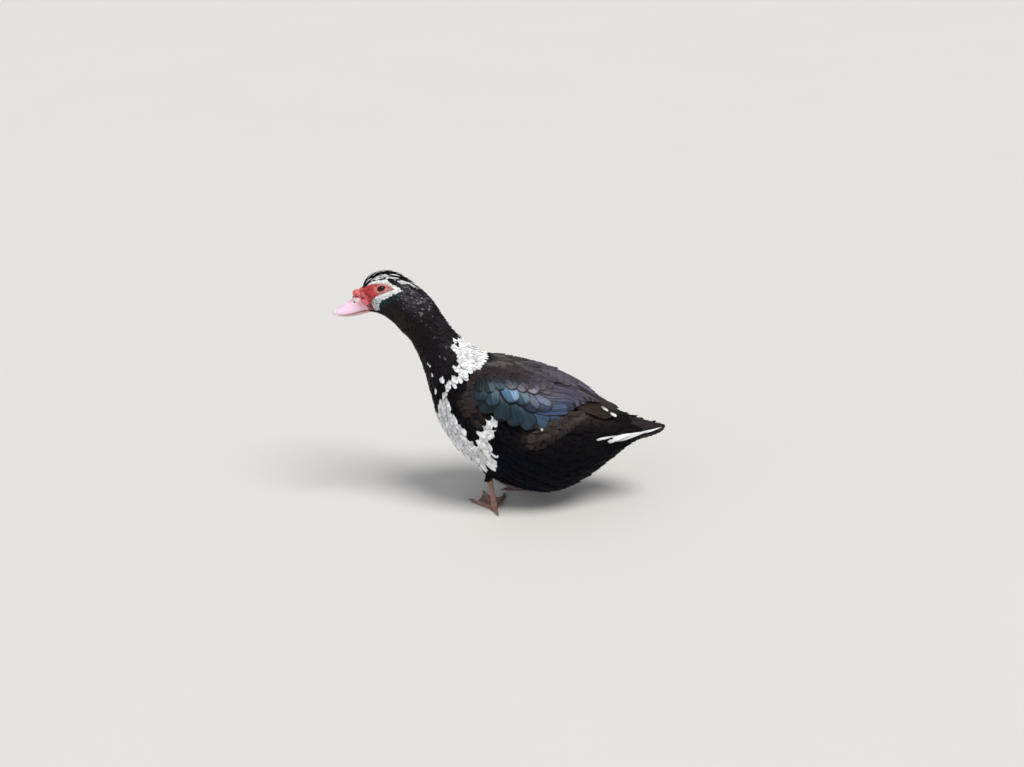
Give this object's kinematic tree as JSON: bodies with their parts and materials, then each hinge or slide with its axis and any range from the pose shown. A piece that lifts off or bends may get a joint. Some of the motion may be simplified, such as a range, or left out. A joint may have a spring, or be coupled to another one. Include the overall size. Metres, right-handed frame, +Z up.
{
  "type": "muscovy duck model",
  "caption": "Life-size still model of a standing muscovy duck, black and white with a bare red face, its head forward and one leg a step ahead of the other.",
  "frame": {"origin": "on the floor under the middle of the whole bird's bounding box", "axes": "+Z up, +X from the bill towards the tail, +Y from the bird's left side towards its right side"},
  "size_m": [0.5242, 0.1781, 0.3823],
  "materials": {
    "plumage": "flesh and skin under black, brown and white contour feathers with a faint purple sheen",
    "crown_feathers": "short black crown feathers mixed with white ones",
    "tail_feathers": "long black feathers with a purple-brown sheen",
    "wing_feathers": "large black feathers with a blue, green and purple sheen",
    "face_skin": "bare, bumpy red skin",
    "bill_horn": "smooth pink horn, paler at the tip",
    "eye": "wet dark brown eye",
    "leg_skin": "scaly pinkish brown skin with darker blotches",
    "claw_horn": "dark horn"
  },
  "bodies": {
    "root": {"head": "plumage", "neck_upper": "plumage", "neck_lower": "plumage", "breast": "plumage", "trunk": "plumage", "rump": "plumage", "thigh_left": "plumage", "thigh_right": "plumage", "crest": "crown_feathers", "tail": "tail_feathers", "wing_left": "wing_feathers", "wing_right": "wing_feathers", "wing_tip_left": "wing_feathers", "wing_tip_right": "wing_feathers", "caruncle_left": "face_skin", "caruncle_right": "face_skin", "caruncle_knob": "face_skin", "bill_upper": "bill_horn", "bill_lower": "bill_horn", "bill_nail": "bill_horn", "eye_left": "eye", "eye_right": "eye", "shank_left": "leg_skin", "shank_right": "leg_skin", "foot_left": "leg_skin", "foot_right": "leg_skin", "hallux_left": "leg_skin", "hallux_right": "leg_skin", "claw_left_1": "claw_horn", "claw_left_2": "claw_horn", "claw_left_3": "claw_horn", "claw_left_4": "claw_horn", "claw_right_1": "claw_horn", "claw_right_2": "claw_horn", "claw_right_3": "claw_horn", "claw_right_4": "claw_horn"}
  },
  "joints": []
}
